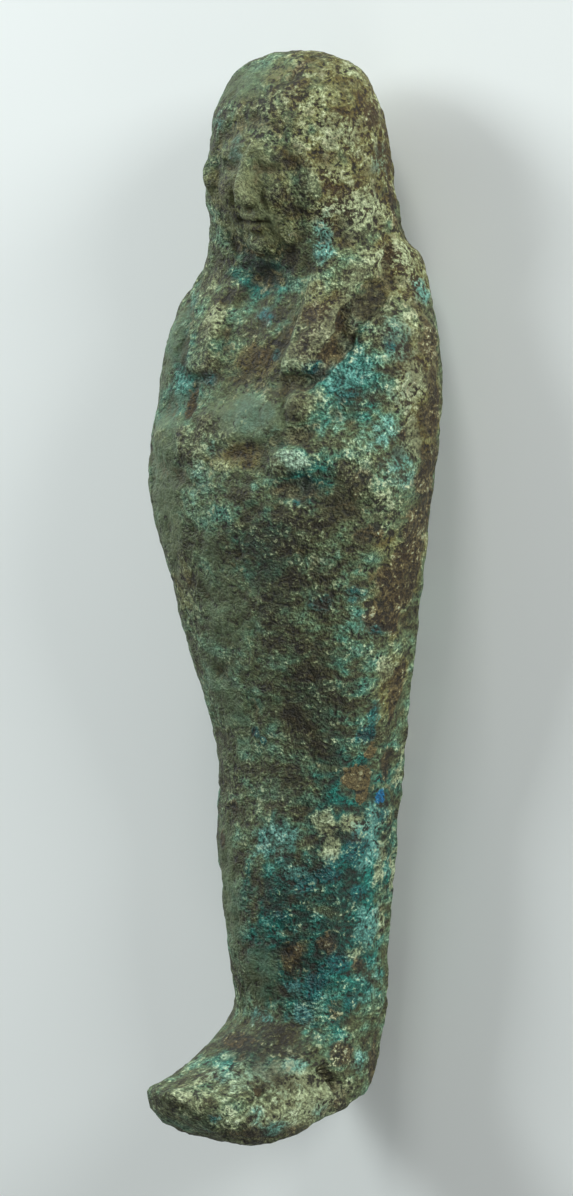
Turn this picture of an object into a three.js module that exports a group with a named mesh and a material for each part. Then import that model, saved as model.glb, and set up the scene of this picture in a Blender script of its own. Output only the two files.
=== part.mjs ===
import * as THREE from 'three';

// An ushabti: a small mummiform figure, moulded in one piece of glazed faience.
// Millimetres. The figure lies on its back: +X is its left side, +Y runs to the
// head, and +Z points up, out of its chest. "Level" is the distance along the
// figure from the plane of an unworn sole: wear has taken the sole up to 0.7.

const CROWN = 119.8;

// The body's stations, from the sole to the crown: level, half width, height of
// the front and of the back, and the number of rings up to the next station.
const STATIONS = [
  { at: 'sole, middle', level: 0.7, half: 0, front: 17.0, back: 17.0, rings: 2 },
  { at: 'sole', level: 0.85, half: 4.6, front: 24.0, back: 9.4, rings: 2 },
  { at: 'sole, rounded edge', level: 1.4, half: 7.6, front: 27.2, back: 4.4, rings: 2 },
  { at: 'side of the foot', level: 2.5, half: 8.8, front: 28.7, back: 2.0, rings: 2 },
  { at: 'tips of the toes', level: 4.1, half: 9.1, front: 29.4, back: 1.1, rings: 2 },
  { at: 'toes, rounding over', level: 5.7, half: 9.1, front: 28.5, back: 0.8, rings: 1 },
  { at: 'top of the toes', level: 7.4, half: 9.0, front: 25.5, back: 0.8, rings: 2 },
  { at: 'instep', level: 10.0, half: 8.9, front: 20.8, back: 1.0, rings: 2 },
  { at: 'front of the ankle', level: 13, half: 8.9, front: 15.7, back: 1.3, rings: 2 },
  { at: 'ankle', level: 17, half: 9.1, front: 15.4, back: 1.2, rings: 2 },
  { at: 'shin', level: 24, half: 9.4, front: 16.7, back: 0.8, rings: 3 },
  { at: 'calf', level: 34, half: 10.4, front: 17.1, back: 0.4, rings: 2 },
  { at: 'knee', level: 43, half: 11.0, front: 16.9, back: 0.1, rings: 2 },
  { at: 'thigh', level: 52, half: 13.1, front: 19.0, back: 0.6, rings: 3 },
  { at: 'hip', level: 62, half: 15.2, front: 21.1, back: 1.0, rings: 4 },
  { at: 'elbow', level: 72, half: 17.3, front: 22.8, back: 1.2, rings: 7 },
  { at: 'upper arm', level: 80, half: 17.5, front: 21.3, back: 0.4, rings: 7 },
  { at: 'shoulder', level: 88, half: 16.9, front: 19.2, back: 0.3, rings: 5 },
  { at: 'top of the shoulder', level: 94, half: 14.7, front: 16.6, back: 0.2, rings: 6 },
  { at: 'neck, under the wig', level: 99, half: 11.8, front: 16.6, back: 0.9, rings: 8 },
  { at: 'cheek', level: 104, half: 11.0, front: 18.4, back: 1.7, rings: 8 },
  { at: 'brow', level: 109, half: 10.3, front: 18.8, back: 2.1, rings: 6 },
  { at: 'top of the forehead', level: 114, half: 9.3, front: 18.0, back: 3.2, rings: 3 },
  { at: 'crown, rounding over', level: 117.9, half: 7.2, front: 15.2, back: 5.3, rings: 2 },
  { at: 'crown, nearly flat', level: 119.4, half: 3.9, front: 12.7, back: 7.3, rings: 1 },
  { at: 'crown, highest point', level: CROWN, half: 0, front: 9.8, back: 9.8, rings: 0 },
];

const COLUMNS = 56;               // points around each ring
const FRONT_CROWDING = 0.42;      // columns stand closer on the carved front
const WIDEST_SHARE = 0.48;        // where the widest line runs, from back to front
const FRONT_SQUARENESS = 2.2;     // 2 is an ellipse, more is squarer
const BACK_SQUARENESS = 2.5;
const TWIST = 4;                  // degrees: chest turned to the left, feet to the right
const TWIST_FROM = 20;            // levels between which the body twists
const TWIST_TO = 85;
const TWIST_AXIS = 11;            // height of the long axis
const BALL = 20;                  // height at which the sole is lowest: it rises
const HEEL_RISE = 0.24;           // from there to the heel and to the toes
const TOE_RISE = 0.045;
const RISE_ENDS = 13;             // level at which the sole's rise has faded out
const FLAT_SPOT = 0.3;            // taken off the lowest points, so that it lies still

const MIDDLE = 105;               // middle of the face
const CHIN = 98.6;
const BROW = 109.4;
const EYE_LINE = 108.0;
const EYE_APART = 2.4;            // from the middle line to each eye
const NOSE_TIP = 104.3;
const MOUTH = 101.7;

// ---- small shaping functions

const smooth = (from, to, value) => {
  const share = Math.min(1, Math.max(0, (value - from) / (to - from)));
  return share * share * (3 - 2 * share);
};

// 1 at the centre, 0 from a distance of 1 on.
const mound = (distance) => (distance < 1 ? (1 - distance * distance) ** 2 : 0);

// Flat-topped: 1 inside, falling to 0 across the soft edge that ends at 1.
const plateau = (distance, edge = 0.45) => 1 - smooth(1 - edge, 1, distance);

const oval = (x, level, centreX, centreLevel, halfX, halfLevel) =>
  Math.hypot((x - centreX) / halfX, (level - centreLevel) / halfLevel);

// Distance from a straight line between two points, in half widths.
const strip = (x, level, [fromX, fromLevel], [toX, toLevel], half) => {
  const runX = toX - fromX;
  const runLevel = toLevel - fromLevel;
  const along = ((x - fromX) * runX + (level - fromLevel) * runLevel) / (runX ** 2 + runLevel ** 2);
  const share = Math.min(1, Math.max(0, along));
  return Math.hypot(x - fromX - share * runX, level - fromLevel - share * runLevel) / half;
};

const between = (level, [lowLevel, lowValue], [highLevel, highValue]) => {
  const share = Math.min(1, Math.max(0, (level - lowLevel) / (highLevel - lowLevel)));
  return lowValue + share * (highValue - lowValue);
};

// A cubic spline through one value of every station, over the station's number.
// With levelEnds it runs out flat, which rounds the sole and the crown over.
function stationCurve(key, levelEnds = false) {
  const value = STATIONS.map((station) => station[key]);
  const last = value.length - 1;
  const bend = new Array(last + 1).fill(0);
  const over = new Array(last + 1).fill(0);
  const rest = new Array(last + 1).fill(0);
  if (levelEnds) {
    over[0] = 0.5;
    rest[0] = 3 * (value[1] - value[0]);
  }
  for (let i = 1; i < last; i += 1) {
    const pivot = 4 - over[i - 1];
    over[i] = 1 / pivot;
    rest[i] = (6 * (value[i + 1] - 2 * value[i] + value[i - 1]) - rest[i - 1]) / pivot;
  }
  bend[last] = levelEnds
    ? (6 * (value[last - 1] - value[last]) - rest[last - 1]) / (2 - over[last - 1])
    : 0;
  for (let i = last - 1; i >= 0; i -= 1) bend[i] = rest[i] - over[i] * bend[i + 1];
  return (place) => {
    const i = Math.min(last - 1, Math.floor(place));
    const b = place - i;
    const a = 1 - b;
    return a * value[i] + b * value[i + 1] + ((a ** 3 - a) * bend[i] + (b ** 3 - b) * bend[i + 1]) / 6;
  };
}

const levelAt = stationCurve('level', true);
const halfAt = stationCurve('half');
const frontAt = stationCurve('front');
const backAt = stationCurve('back');

// The worn sole is a rocker: how far it lies above level 0 at a height.
function soleRise(height) {
  const toHeel = Math.max(0, BALL - height);
  const toToes = Math.max(0, height - BALL);
  return HEEL_RISE * toHeel + TOE_RISE * toToes ** 2;
}

// The smooth body under the carving: angle 0 is the middle of the front, and a
// quarter turn is the figure's left side.
function bodyPoint(place, angle) {
  const front = frontAt(place);
  const back = backAt(place);
  const widest = back + WIDEST_SHARE * (front - back);
  const side = Math.sin(angle);
  const forward = Math.cos(angle);
  const power = 2 / (forward >= 0 ? FRONT_SQUARENESS : BACK_SQUARENESS);
  const reach = forward >= 0 ? front - widest : widest - back;
  const height = widest + reach * Math.sign(forward) * Math.abs(forward) ** power;
  const level = levelAt(place);
  return new THREE.Vector3(
    Math.max(0, halfAt(place)) * Math.sign(side) * Math.abs(side) ** power,
    level + soleRise(height) * Math.max(0, 1 - level / RISE_ENDS),
    height,
  );
}

function bodyNormal(place, angle) {
  const step = 0.02;
  const along = bodyPoint(place + step, angle).sub(bodyPoint(place - step, angle));
  const around = bodyPoint(place, angle + step).sub(bodyPoint(place, angle - step));
  return around.cross(along).normalize();
}

// ---- carving: every function gives the height in millimetres that it adds

// The wig's two lappets hang beside the throat and end square on the chest.
function lappets(x, level) {
  const leftInner = between(level, [86, 5.0], [96, 5.6]);
  const leftOuter = between(level, [85, 9.6], [96, 12.8]);
  const rightInner = between(level, [86, -3.5], [96, -4.8]);
  const rightOuter = between(level, [86, -8.4], [96, -11.2]);
  const band = (inner, outer) => {
    const centre = (inner + outer) / 2;
    return plateau(Math.abs(x - centre) / Math.abs((outer - inner) / 2), 0.4);
  };
  const left = band(leftInner, leftOuter) * smooth(84.9, 86.0, level);
  const right = band(rightInner, rightOuter) * smooth(84.3, 85.5, level);
  const valley = mound(strip(x, level, [13.0, 98.0], [11.4, 89.0], 2.0))
    + mound(strip(x, level, [11.4, 89.0], [8.6, 84.9], 1.6));
  const rightValley = mound(strip(x, level, [-11.6, 96.0], [-9.6, 86.5], 1.5));
  const leftLappet = 1.15 * left * (1 - smooth(96, 101, level));
  const rightLappet = 0.9 * right * (1 - smooth(89, 97, level));
  return leftLappet + rightLappet - 0.7 * valley - 0.35 * rightValley;
}

// The wig stands proud around the face, less so over the worn forehead.
function faceOpening(x, level) {
  const arch = Math.max(0, 1 - Math.abs((level - MIDDLE) / 8.4) ** 3);
  const half = 6.9 * Math.sqrt(arch);
  const inside = 1 - smooth(half - 1.9, half + 0.3, Math.abs(x));
  const depth = 0.7 - 0.4 * smooth(107, 112, level);
  return -depth * inside * smooth(0, 0.45, arch) * smooth(95, 98.5, level);
}

function faceMask(x, level) {
  const fromMiddle = oval(x, level, 0, 104.8, 6.6, 8.0);
  return 1.35 * Math.max(0, 1 - fromMiddle ** 2);
}

function features(x, level) {
  const side = Math.abs(x);
  let height = 0;
  height += 0.45 * mound(strip(side, level, [0.9, BROW], [4.0, BROW - 0.5], 0.9));
  height -= 0.75 * mound(oval(side, level, EYE_APART, EYE_LINE, 1.9, 1.3));
  height += 0.6 * mound(oval(side, level, EYE_APART, EYE_LINE, 1.4, 0.75));
  height += 0.35 * mound(oval(side, level, 3.4, 104.9, 1.9, 2.2));
  const bridge = smooth(BROW + 0.6, NOSE_TIP + 0.4, level) * smooth(NOSE_TIP - 1.0, NOSE_TIP - 0.1, level);
  height += (0.7 + 1.2 * bridge) * bridge ** 0.5 * mound(side / (0.9 + 0.6 * bridge));
  height += 0.5 * mound(oval(side, level, 1.1, NOSE_TIP, 0.8, 0.7));
  height += 0.6 * mound(oval(x, level, 0, MOUTH + 0.55, 2.2, 0.75));
  height += 0.6 * mound(oval(x, level, 0, MOUTH - 0.65, 1.8, 0.75));
  height -= 0.35 * mound(oval(x, level, 0, MOUTH, 2.1, 0.35));
  height += 0.9 * mound(oval(x, level, 0, CHIN + 0.6, 2.7, 1.7));
  return height;
}

// The ears lie on the wig's edge.
function ears(x, level) {
  const side = Math.abs(x);
  const shell = 0.9 * mound(oval(side, level, 6.8, 106.6, 1.3, 2.9));
  return shell - 0.5 * mound(oval(side, level, 6.7, 107.0, 0.55, 1.5));
}

function throat(x, level) {
  const gap = plateau(oval(x, level, 0.6, 90, 5.2, 7.0), 0.25);
  return -0.45 * gap - 0.7 * mound(oval(x, level, 0.3, 95.6, 5.0, 2.6));
}

function arms(x, level) {
  let height = 0;
  height += 0.8 * plateau(strip(x, level, [-9.0, 77.6], [6.8, 81.3], 3.6), 0.7);
  height += 0.9 * plateau(oval(x, level, 9.4, 82.5, 3.1, 2.6), 0.6);
  height -= 0.35 * mound(strip(x, level, [6.3, 84.0], [6.9, 80.2], 0.9));
  height += 0.6 * plateau(strip(x, level, [18, 73.0], [11.8, 78.6], 3.2), 0.7);
  height += 1.25 * plateau(oval(x, level, 8.3, 76.4, 3.7, 2.2), 0.7);
  height -= 0.8 * mound(oval(x, level, 9.5, 73.4, 3.0, 1.9));
  height -= 0.5 * mound(strip(x, level, [-6.6, 83.4], [-6.3, 80.0], 1.2));
  height += 0.4 * mound(strip(x, level, [-6.6, 78.6], [-4.4, 74.4], 1.8));
  height += 0.5 * mound(strip(x, level, [-12, 89], [-11, 78], 3.6));
  height += 0.4 * mound(strip(x, level, [15, 90], [15.5, 78], 3.4));
  return height;
}

// The feet: a low hollow on each side of the instep, above the block of the sole.
function feet(x, level, height) {
  const sides = smooth(2.5, 6, Math.abs(x));
  const hollow = mound(Math.hypot((level - 11) / 5, (height - 18.5) / 6.5));
  return -0.6 * sides * hollow;
}

// Two halves of the mould met along a low seam on each side, nearer the back.
function seam(angle, level) {
  const seamAngle = between(level, [10, 2.35], [66, 1.95]);
  const across = Math.abs(Math.abs(angle) - seamAngle) / 0.16;
  return 0.3 * mound(across) * smooth(8, 14, level) * (1 - smooth(62, 72, level));
}

// The left shoulder stands square behind the wig.
function shoulder(angle, level) {
  return 0.8 * mound(Math.hypot((angle - 1.95) / 0.75, (level - 97) / 3.6));
}

function carving(body, angle) {
  const facing = smooth(-0.05, 0.35, Math.cos(angle));
  const { x, y: level, z: height } = body;
  const onFront = lappets(x, level) + faceOpening(x, level) + faceMask(x, level)
    + features(x, level) + ears(x, level) + throat(x, level) + arms(x, level);
  return facing * onFront + feet(x, level, height) + seam(angle, level) + shoulder(angle, level);
}

function figurePoint(place, angle) {
  const body = bodyPoint(place, angle);
  const carved = bodyNormal(place, angle).multiplyScalar(carving(body, angle)).add(body);
  const turn = THREE.MathUtils.degToRad(TWIST * (2 * smooth(TWIST_FROM, TWIST_TO, carved.y) - 1));
  const up = carved.z - TWIST_AXIS;
  return new THREE.Vector3(
    carved.x * Math.cos(turn) + up * Math.sin(turn),
    carved.y,
    TWIST_AXIS - carved.x * Math.sin(turn) + up * Math.cos(turn),
  );
}

// ---- the solid

function ringPlaces() {
  const places = [];
  STATIONS.forEach(({ rings }, station) => {
    for (let i = 0; i < rings; i += 1) places.push(station + i / rings);
  });
  return places.slice(1);       // the first place is the point of the sole itself
}

function figureGeometry() {
  const places = ringPlaces();
  const points = [bodyPoint(0, 0)];
  for (const place of places) {
    for (let column = 0; column < COLUMNS; column += 1) {
      const even = (column / COLUMNS) * 2 * Math.PI;
      const turn = even > Math.PI ? even - 2 * Math.PI : even;
      points.push(figurePoint(place, turn - FRONT_CROWDING * Math.sin(turn)));
    }
  }
  points.push(bodyPoint(STATIONS.length - 1, 0));

  const faces = [];
  const vertex = (ring, column) => 1 + ring * COLUMNS + (column % COLUMNS);
  const top = points.length - 1;
  for (let column = 0; column < COLUMNS; column += 1) {
    faces.push(0, vertex(0, column + 1), vertex(0, column));
    for (let ring = 0; ring < places.length - 1; ring += 1) {
      const [a, b] = [vertex(ring, column), vertex(ring, column + 1)];
      const [c, d] = [vertex(ring + 1, column), vertex(ring + 1, column + 1)];
      faces.push(a, b, c, b, d, c);
    }
    faces.push(vertex(places.length - 1, column), vertex(places.length - 1, column + 1), top);
  }

  const geometry = new THREE.BufferGeometry().setFromPoints(points);
  geometry.setIndex(faces);
  return layDown(geometry);
}

// Flattens the lowest points into one plane and puts the origin under the middle.
function layDown(geometry) {
  geometry.computeBoundingBox();
  const floor = geometry.boundingBox.min.z + FLAT_SPOT;
  const position = geometry.attributes.position;
  for (let i = 0; i < position.count; i += 1) {
    position.setZ(i, Math.max(floor, position.getZ(i)));
  }
  geometry.computeBoundingBox();
  const centre = geometry.boundingBox.getCenter(new THREE.Vector3());
  geometry.translate(-centre.x, -centre.y, -floor);
  geometry.computeVertexNormals();
  return geometry;
}

const faience = new THREE.MeshStandardMaterial({
  color: 0x7f9a8a,
  roughness: 0.72,
  metalness: 0,
});

const ushabti = new THREE.Mesh(figureGeometry(), faience);
ushabti.name = 'ushabti';

const part = new THREE.Group();
part.add(ushabti);

export default part;
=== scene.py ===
import itertools
import math

import bpy
import numpy as np
from mathutils import Matrix, Vector


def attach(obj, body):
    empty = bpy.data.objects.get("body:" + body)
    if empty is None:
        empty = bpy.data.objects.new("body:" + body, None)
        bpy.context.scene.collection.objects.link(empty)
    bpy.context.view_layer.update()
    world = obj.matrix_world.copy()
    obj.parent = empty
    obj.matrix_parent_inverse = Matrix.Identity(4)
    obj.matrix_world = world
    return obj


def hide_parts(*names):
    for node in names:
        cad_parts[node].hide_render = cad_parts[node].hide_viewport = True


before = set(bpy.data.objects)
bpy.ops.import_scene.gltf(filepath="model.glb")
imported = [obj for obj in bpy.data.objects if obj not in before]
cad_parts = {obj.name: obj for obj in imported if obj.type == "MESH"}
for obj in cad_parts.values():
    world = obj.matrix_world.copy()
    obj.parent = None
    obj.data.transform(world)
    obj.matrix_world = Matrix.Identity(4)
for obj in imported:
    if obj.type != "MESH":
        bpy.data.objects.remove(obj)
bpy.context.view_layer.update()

# An ushabti of worn blue-green faience, lying on its back. The figure is worked
# out in millimetres and set down in metres: +X is its left side, +Y runs to the
# head and +Z points out of its chest. "Level" is the distance along the figure
# from the plane of an unworn sole.

METRE = 0.001             # a millimetre, in metres
CROWN = 119.8
RINGS = 290               # rings of points between the sole and the crown
COLUMNS = 336             # points around each ring
FRONT_CROWDING = 0.3      # columns stand closer on the carved front

# level, half width, height of the front, height of the back
STATIONS = np.array([
    (0.7, 0.0, 17.0, 17.0),      # sole, middle
    (0.85, 4.6, 24.0, 9.4),      # sole
    (1.4, 7.6, 27.2, 4.4),       # sole, rounded edge
    (2.5, 8.8, 28.7, 2.0),       # side of the foot
    (4.1, 9.1, 29.4, 1.1),       # tips of the toes
    (5.7, 9.1, 28.5, 0.8),       # toes, rounding over
    (7.4, 9.0, 25.5, 0.8),       # top of the toes
    (10.0, 8.9, 20.8, 1.0),      # instep
    (13.0, 8.9, 15.7, 1.3),      # front of the ankle
    (17.0, 9.1, 15.4, 1.2),      # ankle
    (24.0, 9.4, 16.7, 0.8),      # shin
    (34.0, 10.4, 17.1, 0.4),     # calf
    (43.0, 11.0, 16.9, 0.1),     # knee
    (52.0, 13.1, 19.0, 0.6),     # thigh
    (62.0, 15.2, 21.1, 1.0),     # hip
    (72.0, 17.3, 22.8, 1.2),     # elbow
    (80.0, 17.5, 21.3, 0.4),     # upper arm
    (88.0, 16.9, 19.2, 0.3),     # shoulder
    (94.0, 14.7, 16.6, 0.2),     # top of the shoulder
    (99.0, 11.8, 16.6, 0.9),     # neck, under the wig
    (104.0, 11.0, 18.4, 1.7),    # cheek
    (109.0, 10.3, 18.8, 2.1),    # brow
    (114.0, 9.3, 18.0, 3.2),     # top of the forehead
    (117.9, 7.2, 15.2, 5.3),     # crown, rounding over
    (119.4, 3.9, 12.7, 7.3),     # crown, nearly flat
    (CROWN, 0.0, 9.8, 9.8),      # crown, highest point
])
WIDEST_SHARE = 0.48       # where the widest line runs, from back to front
FRONT_SQUARENESS = 2.2    # 2 is an ellipse, more is squarer
BACK_SQUARENESS = 2.5
TWIST = 4.0               # degrees: chest turned to the left, feet to the right
TWIST_FROM = 20.0         # levels between which the body twists
TWIST_TO = 85.0
TWIST_AXIS = 11.0         # height of the long axis
BALL = 20.0               # height at which the sole is lowest: it rises
HEEL_RISE = 0.24          # from there to the heel and to the toes
TOE_RISE = 0.045
RISE_ENDS = 13.0          # level at which the sole's rise has faded out
FLAT_SPOT = 0.3           # taken off the lowest points, so that it lies still

MIDDLE = 105.0            # middle of the face
CHIN = 98.6
BROW = 109.4
EYE_LINE = 108.0
EYE_APART = 2.4           # from the middle line to each eye
NOSE_TIP = 104.3
MOUTH = 101.7


# ---- shaping functions on whole arrays

def smooth(start, end, value):
    share = np.clip((value - start) / (end - start), 0, 1)
    return share * share * (3 - 2 * share)


def mound(distance):
    """1 at the centre, 0 from a distance of 1 on."""
    return np.where(distance < 1, (1 - distance ** 2) ** 2, 0.0)


def plateau(distance, edge=0.45):
    """Flat-topped: 1 inside, falling to 0 across the soft edge that ends at 1."""
    return 1 - smooth(1 - edge, 1, distance)


def oval(x, level, centre_x, centre_level, half_x, half_level):
    return np.hypot((x - centre_x) / half_x, (level - centre_level) / half_level)


def strip(x, level, start, end, half):
    """Distance from a straight line between two points, in half widths."""
    run_x, run_level = end[0] - start[0], end[1] - start[1]
    along = ((x - start[0]) * run_x + (level - start[1]) * run_level) / (run_x ** 2 + run_level ** 2)
    share = np.clip(along, 0, 1)
    return np.hypot(x - start[0] - share * run_x, level - start[1] - share * run_level) / half


def between(level, low, high):
    return low[1] + np.clip((level - low[0]) / (high[0] - low[0]), 0, 1) * (high[1] - low[1])


def near(points, centre, reach):
    """Distance of 3-D points from a centre, in reaches along x, level and height."""
    return np.sqrt((((points - np.array(centre)) / np.array(reach)) ** 2).sum(-1))


def near_line(points, start, end, half):
    """Distance of 3-D points from a straight line between two points, in half widths."""
    start, end = np.array(start, float), np.array(end, float)
    run = end - start
    share = np.clip(((points - start) @ run) / (run @ run), 0, 1)
    return np.linalg.norm(points - start - share[..., None] * run, axis=-1) / half


# ---- noise in three dimensions, nearly all of it between -1 and 1

def scramble(cells, seed):
    """One well-mixed whole number for every cell of a grid."""
    mixed = (cells[..., 0] * 73856093) ^ (cells[..., 1] * 19349663) ^ (cells[..., 2] * 83492791)
    mixed = (mixed ^ (seed * 2654435761)) & 0xFFFFFFFF
    for _ in range(2):
        mixed = ((mixed ^ (mixed >> 15)) * 2246822519) & 0xFFFFFFFF
    return mixed ^ (mixed >> 13)


def noise(points, size, seed):
    """Smooth hills and hollows, about one to every cell of the given size."""
    place = points / size + 0.137 * seed
    cell = np.floor(place).astype(np.int64)
    inside = place - cell
    fade = inside ** 3 * (inside * (inside * 6 - 15) + 10)
    total = np.zeros(points.shape[:-1])
    for corner in itertools.product((0, 1), repeat=3):
        corner = np.array(corner)
        mixed = scramble(cell + corner, seed)
        slope = np.stack([(mixed >> shift & 1023) / 511.5 - 1 for shift in (0, 10, 20)], -1)
        weight = np.prod(np.where(corner, fade, 1 - fade), -1)
        total += weight * ((inside - corner) * slope).sum(-1)
    return total * 1.4


def rough(points, size, seed, octaves=3):
    """Noise with finer noise on top of it, each half the size of the one before."""
    total = 0
    for octave in range(octaves):
        total = total + noise(points, size / 2 ** octave, seed + octave) / 1.7 ** octave
    return total


def pits(points, size, seed, share):
    """Round pits of mixed width, one at most in each cell: 0 outside, 1 at the bottom."""
    place = points / size
    cell = np.floor(place).astype(np.int64)
    deepest = np.zeros(points.shape[:-1])
    for step in itertools.product((-1, 0, 1), repeat=3):
        there = cell + np.array(step)
        mixed = scramble(there, seed)
        centre = there + np.stack([(mixed >> shift & 255) / 255 for shift in (0, 8, 16)], -1)
        luck = (scramble(there, seed + 7) & 1023) / 1023
        width = 0.18 + 0.42 * (luck / share)
        depth = mound(np.linalg.norm(place - centre, axis=-1) / width) * width / 0.6
        deepest = np.maximum(deepest, np.where(luck < share, depth, 0))
    return deepest


# ---- the smooth body

def station_curve(column, level_ends=False):
    """A cubic spline over the stations' numbers; with level_ends it runs out flat."""
    value = STATIONS[:, column]
    count = len(value)
    matrix, right = np.eye(count), np.zeros(count)
    for i in range(1, count - 1):
        matrix[i, i - 1:i + 2] = 1, 4, 1
        right[i] = 6 * (value[i + 1] - 2 * value[i] + value[i - 1])
    if level_ends:
        matrix[0, :2], matrix[-1, -2:] = (2, 1), (1, 2)
        right[0], right[-1] = 6 * (value[1] - value[0]), 6 * (value[-2] - value[-1])
    bend = np.linalg.solve(matrix, right)

    def curve(place):
        i = np.clip(np.floor(place).astype(int), 0, count - 2)
        b = place - i
        a = 1 - b
        bent = (a ** 3 - a) * bend[i] + (b ** 3 - b) * bend[i + 1]
        return a * value[i] + b * value[i + 1] + bent / 6

    return curve


level_at = station_curve(0, True)
half_at, front_at, back_at = (station_curve(column) for column in (1, 2, 3))


def signed_power(value, power):
    return np.sign(value) * np.abs(value) ** power


def sole_rise(height):
    to_heel, to_toes = np.maximum(0, BALL - height), np.maximum(0, height - BALL)
    return HEEL_RISE * to_heel + TOE_RISE * to_toes ** 2


def body_points(place, angle):
    front, back = front_at(place), back_at(place)
    widest = back + WIDEST_SHARE * (front - back)
    side, forward = np.sin(angle), np.cos(angle)
    ahead = forward >= 0
    power = 2 / np.where(ahead, FRONT_SQUARENESS, BACK_SQUARENESS)
    height = widest + np.where(ahead, front - widest, widest - back) * signed_power(forward, power)
    level = level_at(place)
    level = level + sole_rise(height) * np.maximum(0, 1 - level / RISE_ENDS)
    return np.stack([np.maximum(0, half_at(place)) * signed_power(side, power), level, height], -1)


def normals(points):
    """Outward normals of a grid of rings and columns that closes on itself sideways."""
    along = np.gradient(points, axis=0)
    around = np.roll(points, -1, 1) - np.roll(points, 1, 1)
    across = np.cross(around, along)
    return across / np.maximum(1e-9, np.linalg.norm(across, axis=-1, keepdims=True))


# ---- carving: each function gives the height in millimetres that it adds

def lappets(x, level):
    """The wig's two lappets hang beside the throat and end square on the chest."""
    def band(inner, outer):
        return plateau(np.abs(x - (inner + outer) / 2) / np.abs((outer - inner) / 2), 0.4)

    left = band(between(level, (86, 5.0), (96, 5.6)), between(level, (85, 9.6), (96, 12.8)))
    right = band(between(level, (86, -3.5), (96, -4.8)), between(level, (86, -8.4), (96, -11.2)))
    left *= smooth(84.9, 86.0, level) * (1 - smooth(96, 101, level))
    right *= smooth(84.3, 85.5, level) * (1 - smooth(89, 97, level))
    valley = mound(strip(x, level, (13.0, 98.0), (11.4, 89.0), 2.0))
    valley += mound(strip(x, level, (11.4, 89.0), (8.6, 84.9), 1.6))
    right_valley = mound(strip(x, level, (-11.6, 96.0), (-9.6, 86.5), 1.5))
    return 1.15 * left + 0.9 * right - 0.7 * valley - 0.35 * right_valley


def face_opening(x, level):
    """The wig stands proud around the face, less so over the worn forehead."""
    arch = np.maximum(0, 1 - np.abs((level - MIDDLE) / 8.4) ** 3)
    half = 6.9 * np.sqrt(arch)
    inside = 1 - smooth(half - 1.9, half + 0.3, np.abs(x))
    depth = 0.7 - 0.4 * smooth(107, 112, level)
    return -depth * inside * smooth(0, 0.45, arch) * smooth(95, 98.5, level)


def face_mask(x, level):
    return 1.35 * np.maximum(0, 1 - oval(x, level, 0, 104.8, 6.6, 8.0) ** 2)


def features(x, level):
    side = np.abs(x)
    height = 0.45 * mound(strip(side, level, (0.9, BROW), (4.0, BROW - 0.5), 0.9))       # brow
    height -= 0.75 * mound(oval(side, level, EYE_APART, EYE_LINE, 1.9, 1.3))             # eye socket
    height += 0.6 * mound(oval(side, level, EYE_APART, EYE_LINE, 1.4, 0.75))             # eye
    height += 0.35 * mound(oval(side, level, 3.4, 104.9, 1.9, 2.2))                      # cheek
    bridge = smooth(BROW + 0.6, NOSE_TIP + 0.4, level) * smooth(NOSE_TIP - 1.0, NOSE_TIP - 0.1, level)
    height += (0.7 + 1.2 * bridge) * bridge ** 0.5 * mound(side / (0.9 + 0.6 * bridge))  # nose
    height += 0.5 * mound(oval(side, level, 1.1, NOSE_TIP, 0.8, 0.7))                    # wing of the nose
    height += 0.6 * mound(oval(x, level, 0, MOUTH + 0.55, 2.2, 0.75))                    # upper lip
    height += 0.6 * mound(oval(x, level, 0, MOUTH - 0.65, 1.8, 0.75))                    # lower lip
    height -= 0.35 * mound(oval(x, level, 0, MOUTH, 2.1, 0.35))                          # between the lips
    return height + 0.9 * mound(oval(x, level, 0, CHIN + 0.6, 2.7, 1.7))                 # chin


def fine_face(x, level):
    """Lids, nostrils, the line of the lips and the dip above the chin, cut finer than the rest."""
    side = np.abs(x)
    height = 0.3 * mound(strip(side, level, (1.0, EYE_LINE + 0.5), (3.9, EYE_LINE + 0.3), 0.55))
    height -= 0.3 * mound(strip(side, level, (0.9, EYE_LINE + 1.2), (3.9, EYE_LINE + 1.1), 0.6))
    height -= 0.3 * mound(strip(side, level, (1.2, EYE_LINE - 0.9), (3.6, EYE_LINE - 0.8), 0.6))
    height -= 0.3 * mound(oval(side, level, 1.9, NOSE_TIP - 0.1, 0.6, 1.1))
    height -= 0.25 * mound(oval(x, level, 0, NOSE_TIP - 1.2, 0.7, 0.8))
    height -= 0.35 * mound(strip(side, level, (0, MOUTH), (2.0, MOUTH + 0.1), 0.5))
    return height - 0.3 * mound(oval(x, level, 0, MOUTH - 1.7, 2.0, 0.7))


def ears(x, level):
    """The ears lie on the wig's edge."""
    side = np.abs(x)
    shell = 0.9 * mound(oval(side, level, 6.8, 106.6, 1.3, 2.9))
    return shell - 0.5 * mound(oval(side, level, 6.7, 107.0, 0.55, 1.5))


def throat(x, level):
    gap = plateau(oval(x, level, 0.6, 90, 5.2, 7.0), 0.25)
    return -0.45 * gap - 0.7 * mound(oval(x, level, 0.3, 95.6, 5.0, 2.6))


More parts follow.
